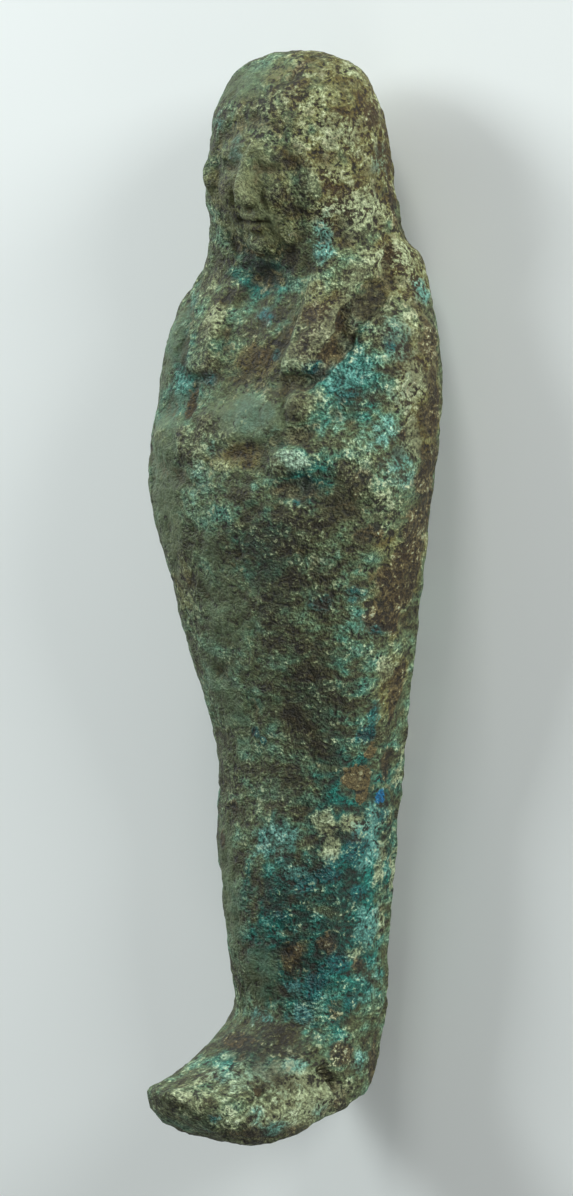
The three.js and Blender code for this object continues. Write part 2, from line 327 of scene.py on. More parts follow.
def arms(x, level):
    height = 0.8 * plateau(strip(x, level, (-9.0, 77.6), (6.8, 81.3), 3.6), 0.7)  # right forearm
    height += 0.9 * plateau(oval(x, level, 9.4, 82.5, 3.1, 2.6), 0.6)             # right fist
    height -= 0.35 * mound(strip(x, level, (6.3, 84.0), (6.9, 80.2), 0.9))        # right wrist
    height += 0.6 * plateau(strip(x, level, (18, 73.0), (11.8, 78.6), 3.2), 0.7)  # left forearm
    height += 1.25 * plateau(oval(x, level, 8.3, 76.4, 3.7, 2.2), 0.7)            # left fist
    height -= 0.8 * mound(oval(x, level, 9.5, 73.4, 3.0, 1.9))                    # hollow under the left fist
    height -= 0.5 * mound(strip(x, level, (-6.6, 83.4), (-6.3, 80.0), 1.2))       # groove beside the forearm
    height += 0.4 * mound(strip(x, level, (-6.6, 78.6), (-4.4, 74.4), 1.8))       # right elbow
    height += 0.5 * mound(strip(x, level, (-12, 89), (-11, 78), 3.6))             # right upper arm
    return height + 0.4 * mound(strip(x, level, (15, 90), (15.5, 78), 3.4))       # left upper arm


def feet(x, level, height):
    """A low hollow on each side of the instep, above the block of the sole."""
    sides = smooth(2.5, 6, np.abs(x))
    return -0.6 * sides * mound(np.hypot((level - 11) / 5, (height - 18.5) / 6.5))


def seam(angle, level):
    """Two halves of the mould met along a low seam on each side, nearer the back."""
    seam_angle = between(level, (10, 2.35), (66, 1.95))
    across = np.abs(np.abs(angle) - seam_angle) / 0.16
    return 0.3 * mound(across) * smooth(8, 14, level) * (1 - smooth(62, 72, level))


def shoulder(angle, level):
    """The left shoulder stands square behind the wig."""
    return 0.8 * mound(np.hypot((angle - 1.95) / 0.75, (level - 97) / 3.6))


def carving(body, angle):
    x, level, height = body[..., 0], body[..., 1], body[..., 2]
    on_front = (lappets(x, level) + face_opening(x, level) + face_mask(x, level)
                + features(x, level) + fine_face(x, level) + ears(x, level) + throat(x, level)
                + arms(x, level))
    facing = smooth(-0.05, 0.35, np.cos(angle))
    return facing * on_front + feet(x, level, height) + seam(angle, level) + shoulder(angle, level)


def twisted(points):
    turn = np.radians(TWIST * (2 * smooth(TWIST_FROM, TWIST_TO, points[..., 1]) - 1))
    x, up = points[..., 0], points[..., 2] - TWIST_AXIS
    turned_x = x * np.cos(turn) + up * np.sin(turn)
    turned_up = TWIST_AXIS - x * np.sin(turn) + up * np.cos(turn)
    return np.stack([turned_x, points[..., 1], turned_up], -1)


TRIAL_RINGS = 4000        # rings and columns of the trial body that is measured
TRIAL_COLUMNS = 8
CARVED_CROWDING = 0.5     # how much closer the rings stand on the arms and the head


def even_places():
    """Ring places an even way apart, closer together on the arms and the head."""
    place = np.linspace(0, len(STATIONS) - 1, TRIAL_RINGS)
    angles = np.linspace(0, 2 * math.pi, TRIAL_COLUMNS, endpoint=False)
    points = body_points(place[:, None], angles[None, :])
    steps = np.linalg.norm(np.diff(points, axis=0), axis=-1).mean(1)
    level = points[1:, TRIAL_COLUMNS // 4, 1]
    carved = smooth(66, 74, level) * (1 - smooth(112, 116, level))
    steps = steps * (1 + CARVED_CROWDING * carved)
    travelled = np.concatenate([[0], np.cumsum(steps)])
    wanted = np.linspace(0, travelled[-1], RINGS + 2)[1:-1]
    return np.interp(wanted, travelled, place)


# ---- wear: what age took off the moulded surface

PITTED_SHARE = 0.3        # the share of cells that hold a pit
SOFT_EDGE = 1.3           # a dent fades out this far from its line, in half widths

# Dents, cracks and chips: two ends of a line, half width and depth
DAMAGE = (
    ((11.2, 92.0, 14.8), (11.0, 90.0, 15.4), 0.85, 1.3),    # pit at the edge of the left lappet
    ((11.8, 98.8, 8.1), (12.0, 97.4, 9.3), 0.65, 1.2),      # crack in the left shoulder
    ((11.5, 94.8, 13.3), (13.2, 95.5, 8.5), 0.45, 0.4),     # creases across the left shoulder
    ((13.2, 93.5, 11.0), (15.0, 92.8, 7.3), 0.45, 0.4),
    ((14.2, 90.9, 12.9), (16.4, 89.2, 10.0), 0.5, 0.4),
    ((3.3, 119.1, 11.9), (3.3, 117.0, 15.4), 0.5, 0.5),     # scratch over the crown
    ((8.6, 9.1, 14.8), (8.8, 7.0, 12.8), 0.6, 1.8),         # crevice in the side of the foot
    ((8.9, 6.9, 12.6), (9.0, 5.5, 10.6), 0.9, 0.55),        # its lower end, chipped
    ((5.9, 7.8, 22.0), (6.0, 7.2, 22.2), 0.6, 1.4),         # hole in the instep
    ((7.6, 8.0, 18.8), (7.9, 6.9, 18.6), 0.4, 0.45),        # short crack below it
    ((10.2, 42.2, 11.6), (10.2, 39.4, 11.5), 2.2, 0.22),    # glaze lost from the left knee
    ((3.5, 10.2, 19.4), (-4.0, 10.9, 18.6), 1.3, 0.25),     # crease across the instep
    ((-4.0, 61.6, 20.4), (-3.4, 60.4, 20.4), 0.8, 0.35),    # nicks on the right thigh
    ((-4.6, 69.0, 22.0), (-4.4, 68.2, 22.0), 0.6, 0.35),
    ((-1.6, 73.2, 22.4), (-1.4, 72.8, 22.4), 0.5, 0.3),
    ((6.6, 38.2, 15.6), (6.2, 37.8, 15.7), 0.6, 0.45),      # nicks above the left shin
    ((4.9, 40.2, 16.4), (4.4, 40.2, 16.5), 0.6, 0.4),
    ((-4.5, 99.0, 15.6), (-3.6, 97.6, 16.0), 0.55, 0.5),    # nick beside the throat
    ((-11.8, 96.8, 12.6), (-13.0, 94.6, 12.8), 1.3, 0.85),  # loss above the right shoulder
    ((-11.9, 93.0, 13.4), (-11.6, 92.0, 13.8), 0.5, 0.3),   # chip on its corner
    ((17.0, 79.2, 11.6), (17.0, 78.6, 11.6), 0.8, 0.3),     # bare spot on the left upper arm
    ((1.0, 1.8, 26.8), (5.8, 1.6, 23.8), 0.7, 0.35),        # chipped edge of the sole
    ((6.9, 1.8, 22.2), (7.4, 1.8, 20.8), 0.6, 0.4),
    ((-5.4, 2.4, 28.0), (-2.6, 2.0, 28.0), 0.6, 0.25),
)

# Low ridges that the mould or a tool left: two ends of a line, half width and height
RIDGES = (
    ((7.0, 4.4, 22.4), (8.9, 6.4, 14.2), 0.7, 0.7),        # above the edge of the sole
    ((6.9, 61.3, 19.8), (9.4, 61.6, 19.0), 0.6, 0.2),      # short line on the belly
    ((7.6, 64.2, 20.0), (10.2, 64.6, 19.0), 0.9, 0.12),
    ((2.6, 28.2, 16.6), (8.0, 28.8, 14.2), 1.0, 0.12),     # faint folds across the shin
    ((2.4, 25.4, 16.4), (8.4, 25.8, 13.4), 1.0, 0.1),
    ((7.9, 80.0, 20.9), (9.9, 78.4, 20.1), 1.2, 0.2),      # between the two fists
    ((14.6, 88.6, 12.6), (16.4, 84.8, 10.4), 1.4, 0.15),   # over the left upper arm
    ((-13.8, 92.6, 13.2), (-14.0, 91.4, 14.2), 1.0, 0.3),  # square corner of the right shoulder
)


def damage(points, wobble):
    """How far each dent goes in, less the height of each ridge."""
    loss = np.zeros(points.shape[:-1])
    for start, end, half, depth in DAMAGE:
        loss += depth * mound(near_line(points, start, end, half * SOFT_EDGE) * (1 + 0.5 * wobble))
    for start, end, half, height in RIDGES:
        loss -= height * mound(near_line(points, start, end, half * SOFT_EDGE) * (1 + 0.4 * wobble))
    return loss


def wear(points):
    """Depth of loss in millimetres: slow waves, crust, grains, pits and named damage.
    The face is worn more evenly than the rest."""
    x, level, height = np.moveaxis(points, -1, 0)
    wobble = noise(points, 1.1, 2)
    crust = smooth(-0.12, 0.12, rough(points, 4.6, 31))
    striations = noise(points * np.array((3.2, 0.35, 3.2)), 2.0, 41)
    behind_seam = smooth(9.2, 7.0, height) * smooth(6, 8.5, np.abs(x)) * (1 - smooth(66, 80, level))
    on_face = mound(near(points, (0, MIDDLE, 18), (9.0, 10.5, 8.0)))
    pitted = 0.42 * pits(points, 3.4, 21, PITTED_SHARE) + 0.28 * pits(points, 1.6, 22, PITTED_SHARE)
    loss = 0.15 * rough(points, 8.0, 3, 2)                        # slow waves
    loss += 0.2 * (1 - 0.7 * on_face) * rough(points, 3.0, 5, 3)  # lumps and grains
    loss += 0.12 * (1 - crust)                                    # crust that broke off
    loss += 0.09 * wobble                                         # fine ripple
    loss += (1 - 0.8 * on_face) * pitted                          # pits of two sizes
    loss += 0.10 * striations * behind_seam                       # grooves behind the seam
    return loss + damage(points, wobble)


# ---- patina and painted shade: what each part of the surface is covered with, and where shade and light are painted on

# The coverings, and the painted shade and light, each with its areas: centre, reach along x, level and
# height, and strength
AREAS = {
    "turquoise": (
        ((13.0, 84.0, 14.0), (7.0, 13.0, 7.0), 0.44),    # left arm and leg, thinly
        ((8.0, 25.0, 11.0), (5.0, 18.0, 7.0), 0.3),
        ((4.0, 8.0, 20.0), (8.0, 6.0, 10.0), 0.42),      # foot, thinly
        ((12.3, 85.6, 16.5), (4.6, 2.6, 3.2), 0.76),     # below the left lappet
        ((13.8, 87.0, 15.4), (4.2, 4.6, 4.0), 0.58),     # left upper arm
        ((15.6, 89.6, 12.2), (2.6, 4.6, 3.8), 0.62),
        ((7.8, 99.2, 14.8), (2.0, 4.2, 2.4), 0.78),      # beside the throat
        ((14.2, 94.2, 5.8), (1.6, 2.6, 2.2), 0.8),       # left shoulder
        ((-11.0, 90.8, 16.1), (1.4, 5.0, 2.5), 0.6),     # outside the right lappet
        ((-8.8, 84.0, 19.7), (3.4, 3.4, 2.5), 0.5),
        ((16.5, 79.9, 14.3), (2.0, 2.6, 2.8), 0.72),     # left elbow
        ((17.5, 76.2, 12.8), (2.2, 3.2, 3.4), 0.68),
        ((9.9, 76.6, 21.4), (2.6, 1.6, 1.8), 0.95),      # left fist
        ((-1.1, 77.2, 22.5), (1.0, 1.4, 1.5), 0.7),
        ((-3.4, 75.0, 22.8), (1.6, 2.6, 1.6), 0.5),      # right elbow
        ((10.3, 33.6, 9.8), (1.8, 3.6, 3.0), 0.95),      # outer calf
        ((10.6, 37.2, 8.6), (1.6, 1.8, 2.2), 0.9),
        ((3.4, 34.0, 16.8), (4.6, 3.0, 2.2), 0.7),       # shin
        ((5.6, 30.4, 16.0), (3.4, 1.6, 2.0), 0.7),
        ((9.6, 24.2, 8.2), (1.4, 3.4, 2.6), 0.85),
        ((9.3, 18.2, 8.0), (1.6, 3.6, 3.2), 0.55),
        ((6.9, 9.6, 17.2), (2.2, 1.4, 2.6), 0.65),       # foot
        ((6.8, 5.3, 23.3), (1.8, 1.6, 1.8), 0.7),
        ((7.6, 3.2, 21.4), (1.6, 1.5, 2.2), 0.8),
        ((8.7, 4.6, 15.4), (1.4, 1.2, 1.8), 0.7),
        ((1.8, 8.6, 22.8), (3.0, 1.4, 2.4), 0.55),
        ((8.8, 9.2, 8.6), (1.3, 2.0, 2.0), 0.75),
        ((13.4, 58.6, 14.4), (2.0, 2.4, 3.0), 0.4),      # thigh
        ((11.8, 66.2, 18.0), (3.0, 3.2, 2.2), 0.3),
        ((9.7, 107.6, 8.2), (1.6, 3.4, 2.2), 0.55),      # side of the wig
        ((-13.6, 78.0, 15.0), (3.0, 7.0, 5.0), 0.5),     # far side
        ((-11.0, 40.0, 8.0), (3.0, 6.0, 4.0), 0.6),
        ((-9.4, 20.0, 8.0), (2.4, 4.5, 5.0), 0.6),
        ((0.0, 58.0, 0.5), (8.0, 7.0, 4.0), 0.5),
    ),
    # Deep teal glaze, and painted shadow under the lappets and the left fist
    "deep_teal_and_shade": (
        ((1.7, 91.6, 17.0), (2.6, 2.4, 1.8), 0.55),      # middle of the chest
        ((9.5, 86.4, 18.0), (1.3, 1.3, 1.4), 0.95),      # painted shadow under the end of the left lappet
        ((-3.8, 84.7, 20.3), (1.7, 1.5, 1.4), 0.7),      # painted shadow under the end of the right lappet
        ((10.6, 74.2, 20.2), (1.2, 1.3, 1.4), 0.8),      # painted shadow in the hollow under the left fist
        ((13.5, 62.2, 15.6), (2.0, 1.3, 2.0), 0.72),     # thigh
        ((11.0, 60.9, 17.8), (2.6, 1.7, 1.8), 0.62),
        ((13.8, 57.5, 12.4), (1.6, 1.3, 2.0), 0.6),
        ((11.4, 46.1, 10.9), (1.4, 1.7, 1.6), 1.0),      # knee
        ((11.9, 48.7, 10.6), (1.3, 2.0, 1.5), 0.7),
        ((10.0, 33.2, 11.2), (1.6, 2.4, 2.2), 1.0),      # outer calf
        ((8.3, 30.6, 13.9), (2.4, 1.7, 2.2), 0.85),
        ((6.4, 29.5, 15.5), (2.0, 1.2, 1.4), 0.8),
        ((9.7, 28.3, 10.5), (1.6, 1.4, 1.8), 0.75),
        ((10.4, 36.6, 8.0), (1.2, 1.8, 1.6), 0.7),
        ((8.6, 31.6, 13.7), (2.0, 1.6, 1.8), 0.6),
        ((6.0, 28.4, 15.7), (2.2, 1.2, 1.4), 0.5),
        ((6.5, 17.8, 13.8), (1.9, 3.2, 2.0), 1.0),       # ankle
        ((8.4, 20.7, 12.1), (1.8, 1.6, 1.8), 0.85),
        ((5.0, 24.2, 15.8), (1.1, 1.1, 1.2), 0.7),
        ((3.8, 25.8, 16.3), (1.2, 1.1, 1.2), 0.7),
        ((9.2, 15.8, 10.8), (1.4, 2.0, 1.8), 0.6),
        ((2.0, 8.2, 24.0), (1.2, 0.9, 1.4), 0.7),        # foot
        ((4.0, 5.0, 27.3), (1.3, 0.9, 1.4), 0.6),
        ((0.7, 45.9, 17.4), (0.7, 0.8, 0.8), 0.9),       # two drops on the right knee
        ((1.8, 44.9, 17.2), (0.6, 0.7, 0.7), 0.9),
        ((9.7, 72.0, 20.6), (0.8, 0.8, 0.8), 0.7),
        ((12.0, 85.2, 16.4), (1.4, 1.2, 1.4), 0.5),
        ((15.2, 88.8, 12.8), (1.4, 1.1, 1.6), 0.8),
        ((13.6, 83.6, 15.9), (1.6, 0.9, 1.4), 0.6),
        ((-12.0, 66.0, 12.0), (3.0, 3.0, 3.0), 0.6),     # far side
        ((-9.0, 26.0, 6.0), (2.0, 3.0, 3.0), 0.6),
    ),
    "light_blue": (
        ((1.0, 91.7, 17.0), (0.7, 0.6, 0.8), 1.0),       # drops of thick glaze on the chest
        ((2.3, 91.5, 17.0), (0.6, 0.6, 0.8), 0.9),
        ((4.3, 87.4, 18.3), (0.8, 0.9, 1.0), 0.9),
        ((4.4, 17.5, 14.8), (2.2, 1.5, 1.4), 0.8),       # above the instep
        ((4.8, 14.5, 14.3), (2.4, 1.6, 1.6), 0.95),
        ((0.0, 14.2, 15.2), (2.6, 1.5, 1.4), 0.65),
        ((3.2, 81.0, 21.4), (4.6, 3.2, 2.4), 0.75),      # smooth forearm
        ((12.8, 83.4, 16.8), (2.4, 1.6, 1.6), 0.6),
        ((-2.4, 78.6, 22.0), (0.8, 1.0, 1.0), 0.6),
        ((-4.2, 112.2, 17.2), (2.4, 2.6, 2.4), 0.55),    # brow
        ((-1.0, 109.0, 18.6), (1.8, 2.2, 2.0), 0.65),
        ((7.8, 98.8, 14.8), (1.4, 2.8, 1.8), 0.45),      # beside the throat
    ),
    "vivid": (
        ((10.7, 38.6, 8.1), (1.3, 0.95, 1.1), 1.0),      # one thick drop at the knee
    ),
    # Cream crust; on the near side of the foot it is also painted light
    "cream": (
        ((5.0, 109.0, 11.0), (12.0, 13.0, 12.0), 0.44),  # wig, left shoulder and arm, thinly
        ((15.0, 88.0, 9.0), (7.0, 16.0, 9.0), 0.5),
        ((8.0, 88.0, 16.0), (9.0, 9.0, 6.0), 0.2),
        ((4.0, 6.0, 21.0), (9.0, 7.0, 12.0), 0.68),      # foot, thinly
        ((-6.9, 94.6, 16.0), (1.6, 3.0, 1.8), 0.7),      # right lappet
        ((-5.0, 90.2, 18.6), (1.7, 3.6, 1.8), 0.9),
        ((-3.8, 86.0, 20.2), (1.6, 2.4, 1.6), 0.75),
        ((10.7, 103.0, 11.5), (3.0, 4.2, 4.5), 0.8),     # wig
        ((8.4, 111.0, 13.0), (4.0, 4.5, 4.0), 0.7),
        ((3.0, 114.4, 16.6), (4.5, 3.0, 3.0), 0.55),
        ((12.2, 98.0, 7.4), (2.4, 2.2, 3.4), 0.8),       # left shoulder
        ((11.4, 97.4, 11.4), (2.6, 2.6, 2.4), 0.6),
        ((17.1, 85.4, 9.6), (1.8, 4.0, 3.2), 0.75),      # left upper arm
        ((16.4, 82.6, 12.6), (2.0, 2.4, 2.2), 0.6),
        ((17.4, 78.7, 10.6), (1.8, 2.6, 2.4), 1.0),
        ((8.7, 78.8, 20.5), (1.5, 1.6, 1.4), 0.8),       # between the fists
        ((-3.2, 77.4, 22.7), (1.2, 2.6, 1.2), 0.75),     # right elbow
        ((8.6, 76.4, 21.8), (1.6, 1.0, 1.2), 0.6),
        ((16.8, 72.6, 15.3), (0.9, 0.9, 1.0), 0.9),
        ((-7.8, 62.6, 20.1), (1.0, 2.6, 1.4), 0.7),      # right hip
        ((13.3, 53.6, 9.9), (1.5, 2.4, 2.0), 0.85),      # outside of the knee
        ((12.8, 55.4, 12.6), (1.6, 1.6, 1.6), 0.6),
        ((8.2, 36.0, 14.2), (2.2, 1.9, 2.0), 0.9),       # calf
        ((8.6, 33.4, 13.7), (1.8, 2.6, 1.6), 0.85),
        ((9.9, 36.4, 11.6), (1.6, 1.6, 2.2), 0.85),
        ((10.2, 32.0, 7.2), (1.4, 5.0, 1.6), 0.8),
        ((9.6, 25.1, 6.7), (1.4, 4.0, 1.6), 0.7),
        ((9.2, 30.2, 4.2), (1.4, 5.0, 2.4), 0.7),        # behind the seam
        ((9.8, 44.0, 4.6), (1.4, 7.0, 1.6), 0.6),
        ((9.1, 21.3, 10.2), (1.3, 1.4, 2.0), 0.7),
        ((8.0, 5.4, 18.6), (3.2, 3.2, 7.0), 1.35),       # foot, near side: cream crust, brightened further as painted light
        ((7.8, 8.2, 17.0), (2.4, 1.8, 3.2), 0.9),
        ((8.9, 6.0, 12.4), (0.8, 0.8, 1.1), 1.3),        # pale chips under the crevice
        ((7.0, 4.2, 21.0), (0.8, 0.7, 1.2), 1.2),
        ((5.0, 7.6, 22.6), (3.0, 1.8, 3.0), 0.6),
        ((1.9, 6.6, 28.6), (4.4, 2.0, 2.2), 0.8),
        # painted light: cream brightening the near side of the foot
        ((7.8, 5.2, 20.2), (2.0, 1.4, 4.4), 1.6),
        ((8.8, 6.4, 14.4), (1.2, 1.0, 2.6), 0.8),
        ((8.9, 6.4, 10.8), (1.2, 1.6, 1.8), 0.7),
        ((-2.0, 5.0, 27.6), (4.0, 2.4, 2.6), 0.7),
        ((0.0, 100.0, 2.0), (9.0, 8.0, 4.0), 0.5),       # back of the wig
        ((-10.0, 104.0, 10.0), (3.0, 7.0, 5.0), 0.5),
        ((0.0, 30.0, 0.5), (6.0, 9.0, 3.0), 0.5),
    ),
    # Brown body and dirt; under the chin, below the forearms and in the groove beside the right forearm it is
    # painted shadow
    "brown": (
        ((5.0, 109.0, 11.0), (12.0, 13.0, 12.0), 0.36),  # wig, left side and foot, thinly
        ((14.0, 80.0, 9.0), (7.0, 26.0, 9.0), 0.36),
        ((5.0, 4.0, 18.0), (9.0, 6.0, 12.0), 0.14),
        ((9.2, 89.8, 17.2), (3.2, 4.6, 2.8), 0.92),      # left lappet
        ((11.1, 91.0, 15.2), (1.2, 1.9, 1.6), 1.0),
        ((1.6, 86.8, 18.8), (3.0, 2.6, 2.0), 0.6),       # chest
        ((15.3, 62.4, 10.7), (2.8, 3.8, 4.0), 1.0),      # left hip
        ((15.6, 65.2, 9.6), (2.2, 3.2, 3.8), 1.0),
        ((14.5, 59.2, 11.6), (2.0, 2.2, 3.0), 0.95),
        ((17.0, 74.2, 7.6), (2.0, 5.4, 3.2), 0.9),       # behind the left elbow
        ((16.3, 69.6, 9.0), (2.2, 4.0, 3.6), 0.95),
        ((17.4, 82.6, 7.0), (2.0, 6.4, 2.6), 0.85),
        ((16.2, 88.6, 6.6), (2.0, 4.0, 2.6), 0.75),
        ((15.3, 74.3, 17.4), (2.0, 2.2, 1.8), 0.6),      # under the left elbow: brown patch, darkened as painted shadow below the forearm
        ((15.3, 68.8, 15.6), (2.0, 1.6, 2.2), 0.7),
        ((17.4, 79.2, 12.0), (0.5, 0.8, 0.7), 1.0),
        ((-6.0, 81.1, 20.5), (1.0, 3.0, 1.4), 0.8),      # painted shade in the groove beside the right forearm
        ((2.2, 76.6, 22.0), (2.6, 1.6, 1.6), 0.45),      # painted shadow below the forearm
        ((12.6, 51.0, 7.6), (1.2, 7.4, 1.2), 1.0),       # along the seam
        ((11.2, 42.6, 7.4), (1.6, 2.2, 1.6), 0.85),
        ((9.4, 36.0, 5.6), (0.8, 9.0, 0.8), 0.5),
        ((-3.6, 37.1, 16.4), (0.9, 1.1, 1.0), 0.85),     # spots on the right shin
        ((-5.7, 32.9, 15.7), (0.9, 2.0, 1.2), 0.7),
        ((-4.4, 35.4, 16.2), (0.6, 1.6, 0.8), 0.5),
        ((4.3, 20.9, 15.5), (1.9, 3.0, 1.6), 0.62),      # shin
        ((7.6, 22.6, 13.4), (2.2, 1.5, 1.8), 0.75),
        ((9.1, 20.2, 9.6), (1.1, 1.5, 1.5), 0.7),
        ((7.9, 15.0, 12.0), (1.4, 2.0, 1.6), 0.6),
        ((5.9, 7.5, 22.1), (0.7, 0.8, 0.8), 1.1),        # hole in the instep
        ((3.3, 118.1, 13.6), (0.5, 1.6, 2.2), 0.9),      # scratch over the crown
        ((11.9, 98.4, 7.9), (0.5, 1.4, 1.0), 1.0),       # crack in the left shoulder
        ((-1.2, 11.5, 18.0), (5.0, 1.3, 2.2), 0.66),     # instep
        ((8.8, 10.4, 11.8), (1.4, 1.6, 2.4), 0.8),
        ((8.5, 8.4, 5.8), (1.6, 4.0, 2.0), 0.8),         # heel
        ((6.0, 3.0, 24.4), (2.6, 1.0, 2.6), 0.7),        # edge of the sole
        ((8.0, 2.6, 18.4), (2.0, 1.0, 3.0), 0.7),
        ((3.6, 5.6, 27.0), (1.6, 1.2, 1.6), 0.6),
        ((8.8, 5.0, 12.0), (1.3, 1.6, 2.0), 0.6),
        ((10.4, 104.7, 6.6), (1.4, 4.6, 1.2), 0.85),     # edge of the wig
        ((9.2, 112.6, 8.8), (1.6, 2.6, 1.6), 0.6),
        ((7.6, 108.2, 15.0), (2.2, 1.6, 1.8), 0.45),
        ((-1.0, 98.4, 16.2), (3.4, 1.2, 1.6), 0.6),      # painted shadow on the throat, under the chin
        ((0.0, 75.0, 0.5), (7.0, 9.0, 3.0), 0.55),       # back
        ((-15.0, 62.0, 10.0), (3.0, 5.0, 4.0), 0.6),
        ((-9.0, 50.0, 6.0), (3.0, 5.0, 3.0), 0.5),
    ),
    "veil": (
        ((-9.4, 72.0, 21.2), (5.0, 13.0, 5.0), 0.85),    # right side, front
        ((-4.0, 50.0, 18.0), (4.4, 16.0, 4.0), 0.55),
        ((-5.0, 27.0, 16.0), (4.0, 12.0, 4.0), 0.8),
        ((-11.4, 86.0, 17.5), (3.4, 8.0, 4.0), 0.7),
        ((0.0, 18.0, 15.5), (5.0, 5.0, 3.0), 0.7),
        ((2.6, 81.0, 21.4), (6.4, 3.8, 3.0), 1.0),       # forearm
        ((-2.0, 62.0, 20.5), (7.0, 13.0, 3.5), 0.62),    # belly
        ((0.0, 105.0, 18.5), (7.0, 8.5, 5.0), 0.6),      # face
        ((-2.0, 116.0, 15.6), (6.0, 3.0, 4.0), 0.6),     # crown, front
        ((-7.0, 108.0, 14.0), (3.0, 6.0, 4.0), 0.5),
    ),
    "tan": (
        ((6.0, 110.0, 9.0), (11.0, 12.5, 11.0), 1.0),    # wig
        ((0.0, 105.0, 17.0), (8.0, 9.0, 5.0), 0.7),
        ((13.0, 97.0, 7.0), (5.0, 5.5, 6.0), 0.9),       # left shoulder and arm
        ((17.0, 84.0, 8.0), (3.0, 11.0, 5.0), 0.8),
        ((9.4, 90.6, 16.6), (3.6, 6.0, 3.0), 0.9),       # left lappet
        ((-5.2, 90.6, 18.2), (2.0, 6.0, 2.4), 0.5),      # right lappet
        ((2.0, 86.6, 18.9), (4.4, 2.8, 2.0), 0.7),       # chest
        ((2.0, 76.6, 22.0), (5.0, 2.6, 2.4), 0.6),
        ((-7.5, 63.0, 20.0), (4.0, 9.0, 3.0), 0.5),      # right hip
        ((15.0, 65.0, 10.0), (3.4, 9.0, 5.0), 0.8),      # left hip
        ((12.6, 52.0, 8.6), (2.4, 6.0, 3.0), 0.8),
        ((10.0, 37.0, 8.0), (2.4, 6.0, 5.0), 0.4),
        ((4.0, 21.0, 15.0), (3.0, 3.0, 2.4), 0.5),       # shin
        ((4.0, 5.0, 20.0), (9.0, 4.0, 12.0), 0.3),       # foot
        ((0.0, 60.0, 0.0), (12.0, 40.0, 4.0), 0.45),     # back
    ),
    "teal": (
        ((5.0, 24.0, 13.0), (8.0, 12.0, 8.0), 1.0),      # shins
        ((9.0, 34.0, 10.0), (5.0, 12.0, 7.0), 0.9),
        ((10.0, 50.0, 14.0), (6.0, 12.0, 5.0), 0.22),
        ((12.0, 62.0, 15.0), (5.0, 6.0, 4.0), 0.25),
        ((0.0, 96.0, 15.5), (5.0, 3.5, 3.0), 0.7),       # painted shadow on the throat, under the chin
        ((12.0, 85.0, 15.0), (6.0, 6.0, 5.0), 0.6),      # left arm
        ((10.0, 75.0, 19.0), (5.0, 4.0, 4.0), 0.5),
        ((4.0, 68.0, 21.0), (6.0, 6.0, 3.0), 0.3),
        ((-8.0, 84.0, 18.0), (5.0, 7.0, 4.0), 0.5),
        ((-10.0, 30.0, 8.0), (5.0, 16.0, 8.0), 0.5),
        ((2.0, 10.0, 20.0), (6.0, 4.0, 5.0), 0.4),
    ),
    # Shade painted into the colour: it darkens the ground and turns it umber
    "painted_shade": (
        ((7.0, 66.0, 19.5), (6.0, 10.0, 5.0), 1.05),     # belly and thigh, left of the middle, where the middle of the lying figure is in shade
        ((8.0, 50.0, 16.0), (5.0, 12.0, 5.0), 1.05),
        ((5.0, 40.0, 16.0), (4.6, 8.0, 4.0), 0.8),
        ((6.0, 26.0, 15.0), (5.0, 10.0, 4.0), 0.9),
        ((8.6, 26.0, 12.4), (2.6, 8.0, 3.2), 0.9),
        ((0.0, 97.5, 15.5), (5.0, 3.0, 2.8), 1.4),       # throat, in the shadow under the chin
        ((1.0, 90.5, 17.0), (4.4, 5.0, 2.4), 0.6),
        ((3.0, 11.6, 17.6), (7.0, 2.6, 3.4), 1.1),       # crease above the foot, in shade
    ),
    "bare": (
        ((10.3, 41.2, 11.3), (2.2, 1.5, 2.3), 1.0),      # glaze lost from the left knee
        ((10.4, 39.4, 10.6), (1.5, 1.2, 1.1), 1.0),
        ((11.2, 44.2, 9.8), (1.2, 1.8, 1.1), 0.6),
        ((12.5, 51.4, 8.2), (1.0, 2.6, 1.0), 0.7),
    ),
}


def patina_and_shade(points):
    """How much of each covering, and of the painted shade and light, lies at every point, with ragged
    borders.
    """
    ragged = 0.34 * noise(points, 2.6, 51) + 0.26 * noise(points, 0.95, 52)
    covering = {}
    for number, (name, areas) in enumerate(AREAS.items()):
        amount = np.zeros(points.shape[:-1])
        shifted = ragged + 0.25 * noise(points, 1.7, 60 + number)
        for centre, reach, strength in areas:
            there = 1 - smooth(0.25, 1.35, near(points, centre, reach) + shifted)
            amount = np.maximum(amount, strength * there)
        covering[name] = amount
    return covering


def hollows(depth):
    """How far the surface lies below the mean of its surroundings, in millimetres."""
    reach = 5
    window = 2 * reach + 1
    around = depth.copy()
    for _ in range(3):
        around = sum(np.roll(around, step, 1) for step in range(-reach, reach + 1)) / window
        padded = np.pad(around, ((reach, reach), (0, 0)), "edge")
        around = sum(padded[step:step + len(around)] for step in range(window)) / window
    return depth - around


# ---- the mesh

def figure_grid():
    """The moulded figure's points, in rings and columns, and the height of its carving."""
    even = np.linspace(0, 2 * math.pi, COLUMNS, endpoint=False)
    even = np.where(even > math.pi, even - 2 * math.pi, even)
    angle = (even - FRONT_CROWDING * np.sin(even))[None, :]
    place = even_places()[:, None]
    body = body_points(place, angle)
    relief = carving(body, angle)
    return twisted(body + normals(body) * relief[..., None]), relief


def lay_down(points, plain):
    """Sets the figure on its flat spots, with the origin under its middle."""
    floor = plain[..., 2].min() + FLAT_SPOT
    middle = (plain.reshape(-1, 3).max(0) + plain.reshape(-1, 3).min(0)) / 2
    points = points.copy()
    points[..., 2] = np.maximum(floor, points[..., 2])
    return points - np.array([middle[0], middle[1], floor])


